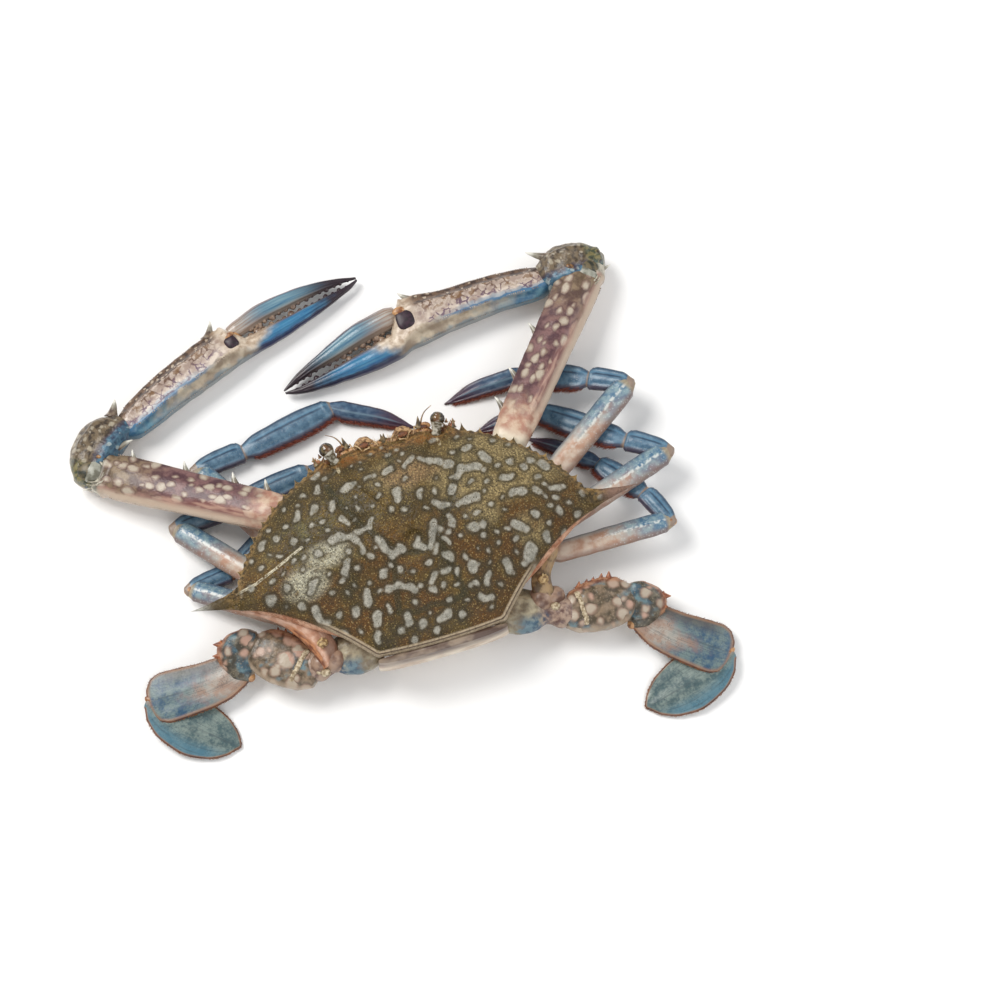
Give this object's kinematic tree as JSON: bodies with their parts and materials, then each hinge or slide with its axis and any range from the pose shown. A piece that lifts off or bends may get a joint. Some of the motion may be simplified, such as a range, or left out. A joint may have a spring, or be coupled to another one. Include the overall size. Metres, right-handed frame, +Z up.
{
  "type": "blue swimming crab",
  "caption": "Still model of a swimming crab lying flat: wide spiny-edged shell, two long slender claws reaching forward, jointed walking legs and flat oar-shaped rear legs.",
  "frame": {"origin": "on the ground under the middle of the body, in the flat of the folded tail plate, which is flush with the breast", "axes": "+X towards the crab's right, +Y the way its eyes look, +Z up"},
  "size_m": [0.1946, 0.1773, 0.0368],
  "materials": {
    "carapace_shell": "granular, low sheen, olive-brown with pale blue-grey blotches",
    "pale_underside": "smooth, low sheen, pinkish cream",
    "eye": "wet gloss, dark olive brown",
    "feeler": "matte, tan",
    "claw_arm_shell": "satin, purple-brown net with cream spots",
    "claw_hand_shell": "satin, cream with brown lace and a blue inner band",
    "claw_finger_shell": "satin, bright blue to violet-black tips, cream teeth",
    "leg_cream_shell": "satin, pinkish cream turning blue",
    "leg_blue_shell": "satin, steel blue",
    "swimming_leg_shell": "low sheen, olive with cream-pink blotches",
    "swimming_blade": "satin, blue-grey, speckled, brown hair edge"
  },
  "bodies": {
    "root": {"abdomen": "pale_underside", "antenna_left": "feeler", "antenna_right": "feeler", "carapace": "carapace_shell", "claw_left_carpus": "claw_arm_shell", "claw_left_dactyl": "claw_finger_shell", "claw_left_hip": "pale_underside", "claw_left_merus": "claw_arm_shell", "claw_left_palm": "claw_hand_shell", "claw_right_carpus": "claw_arm_shell", "claw_right_dactyl": "claw_finger_shell", "claw_right_hip": "pale_underside", "claw_right_merus": "claw_arm_shell", "claw_right_palm": "claw_hand_shell", "eye_left": "eye", "eye_right": "eye", "leg2_left_carpus": "leg_blue_shell", "leg2_left_dactyl": "leg_blue_shell", "leg2_left_hip": "pale_underside", "leg2_left_merus": "leg_cream_shell", "leg2_left_propodus": "leg_blue_shell", "leg2_right_carpus": "leg_blue_shell", "leg2_right_dactyl": "leg_blue_shell", "leg2_right_hip": "pale_underside", "leg2_right_merus": "leg_cream_shell", "leg2_right_propodus": "leg_blue_shell", "leg3_left_carpus": "leg_blue_shell", "leg3_left_dactyl": "leg_blue_shell", "leg3_left_hip": "pale_underside", "leg3_left_merus": "leg_cream_shell", "leg3_left_propodus": "leg_blue_shell", "leg3_right_carpus": "leg_blue_shell", "leg3_right_dactyl": "leg_blue_shell", "leg3_right_hip": "pale_underside", "leg3_right_merus": "leg_cream_shell", "leg3_right_propodus": "leg_blue_shell", "leg4_left_carpus": "leg_blue_shell", "leg4_left_dactyl": "leg_blue_shell", "leg4_left_hip": "pale_underside", "leg4_left_merus": "leg_cream_shell", "leg4_left_propodus": "leg_blue_shell", "leg4_right_carpus": "leg_blue_shell", "leg4_right_dactyl": "leg_blue_shell", "leg4_right_hip": "pale_underside", "leg4_right_merus": "leg_cream_shell", "leg4_right_propodus": "leg_blue_shell", "maxilliped_left": "pale_underside", "maxilliped_right": "pale_underside", "swim_left_carpus": "swimming_leg_shell", "swim_left_hip": "swimming_leg_shell", "swim_left_merus": "swimming_leg_shell", "swim_left_paddle": "swimming_blade", "swim_left_propodus": "swimming_blade", "swim_right_carpus": "swimming_leg_shell", "swim_right_hip": "swimming_leg_shell", "swim_right_merus": "swimming_leg_shell", "swim_right_paddle": "swimming_blade", "swim_right_propodus": "swimming_blade", "thorax": "pale_underside"}
  },
  "joints": []
}
